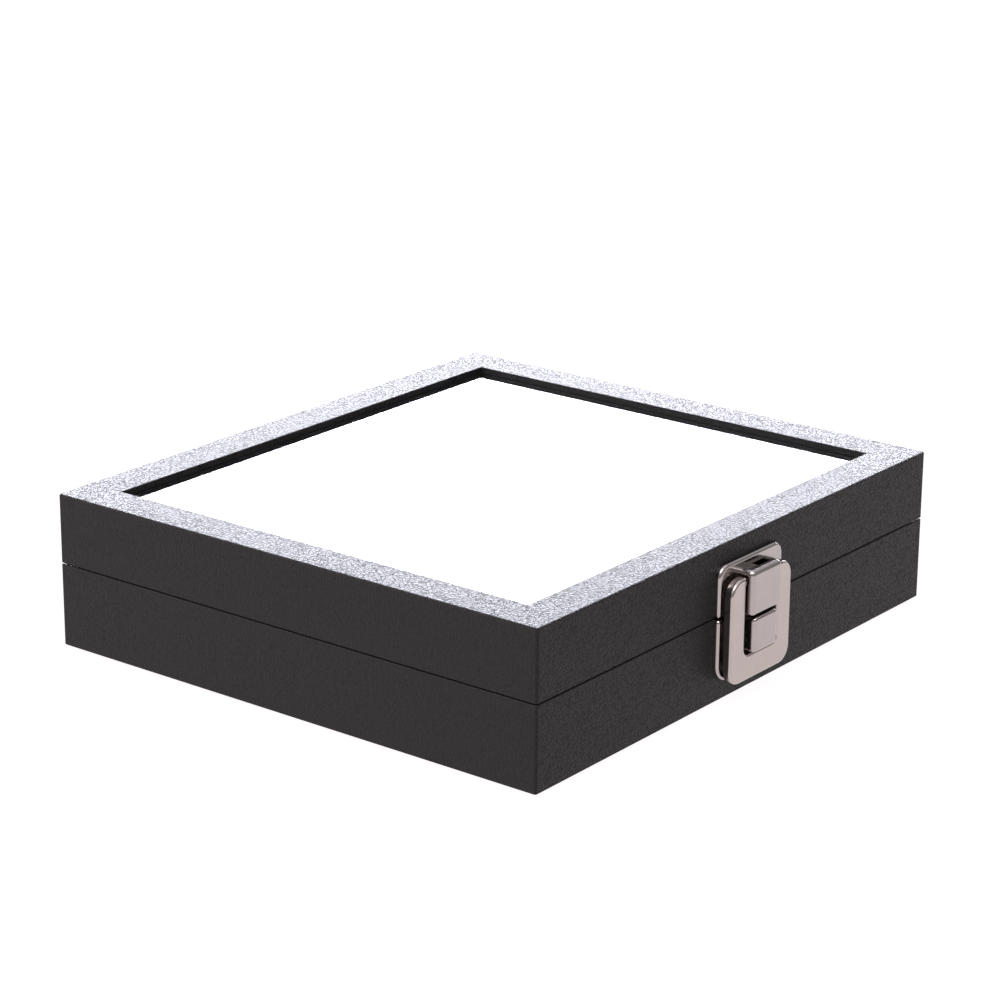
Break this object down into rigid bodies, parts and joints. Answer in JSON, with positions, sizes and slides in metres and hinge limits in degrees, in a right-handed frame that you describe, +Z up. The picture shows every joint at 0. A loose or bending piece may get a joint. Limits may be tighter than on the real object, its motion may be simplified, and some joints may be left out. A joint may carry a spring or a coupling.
{
  "type": "coin display frame",
  "caption": "Low leatherette display box for coins: glazed hinged lid, recessed insert and a swinging hasp on the front.",
  "frame": {"origin": "middle of the footprint, on the surface that the box stands on", "axes": "+X along the front from left to right, +Y to the hinged back, +Z up through the glass"},
  "size_m": [0.205, 0.1974, 0.05],
  "materials": {
    "frame_wood": "raw fibreboard",
    "panel_board": "raw hardboard",
    "leatherette": "black, fine crackle grain, satin sheen",
    "base_felt": "black pressed felt",
    "velvet": "black short-pile velvet",
    "stop_lacquer": "softwood strip, matt black",
    "insert_foam": "black foam",
    "insert_flock": "black flocked",
    "glass": "clear float glass",
    "hinge_nickel": "nickel plated steel",
    "hasp_nickel": "polished nickel plated pressed steel"
  },
  "bodies": {
    "base": {"base_front_wall": "frame_wood", "base_right_wall": "frame_wood", "base_back_wall": "frame_wood", "base_left_wall": "frame_wood", "base_panel": "panel_board", "base_cover": "leatherette", "base_felt": "base_felt", "lining_front": "velvet", "lining_right": "velvet", "lining_back": "velvet", "lining_left": "velvet", "insert_block": "insert_foam", "coin_insert": "insert_flock", "hinge_base_leaf_left": "hinge_nickel", "hinge_base_leaf_right": "hinge_nickel", "hinge_pin_left": "hinge_nickel", "hinge_pin_right": "hinge_nickel", "base_hinge_screws": "hinge_nickel", "keeper_plate": "hasp_nickel", "keeper_screws": "hasp_nickel"},
    "lid": {"lid_front_rail": "frame_wood", "lid_right_rail": "frame_wood", "lid_back_rail": "frame_wood", "lid_left_rail": "frame_wood", "lid_cover": "leatherette", "glass_pane": "glass", "glass_stop_front": "stop_lacquer", "glass_stop_right": "stop_lacquer", "glass_stop_back": "stop_lacquer", "glass_stop_left": "stop_lacquer", "hinge_lid_leaf_left": "hinge_nickel", "hinge_lid_leaf_right": "hinge_nickel", "lid_hinge_screws": "hinge_nickel", "hasp_plate": "hasp_nickel", "hasp_screws": "hasp_nickel", "hasp_pin": "hasp_nickel"},
    "hasp": {"hasp_lever": "hasp_nickel"}
  },
  "joints": [
    {"name": "lid_hinge", "type": "hinge", "parent": "base", "child": "lid", "pos_m": [0, 0.0943, 0.0276], "axis": [-1, 0, 0], "range_deg": [0, 100]},
    {"name": "hasp_hinge", "type": "hinge", "parent": "lid", "child": "hasp", "pos_m": [0, -0.09635, 0.0378], "axis": [-1, 0, 0], "range_deg": [0, 120]}
  ]
}
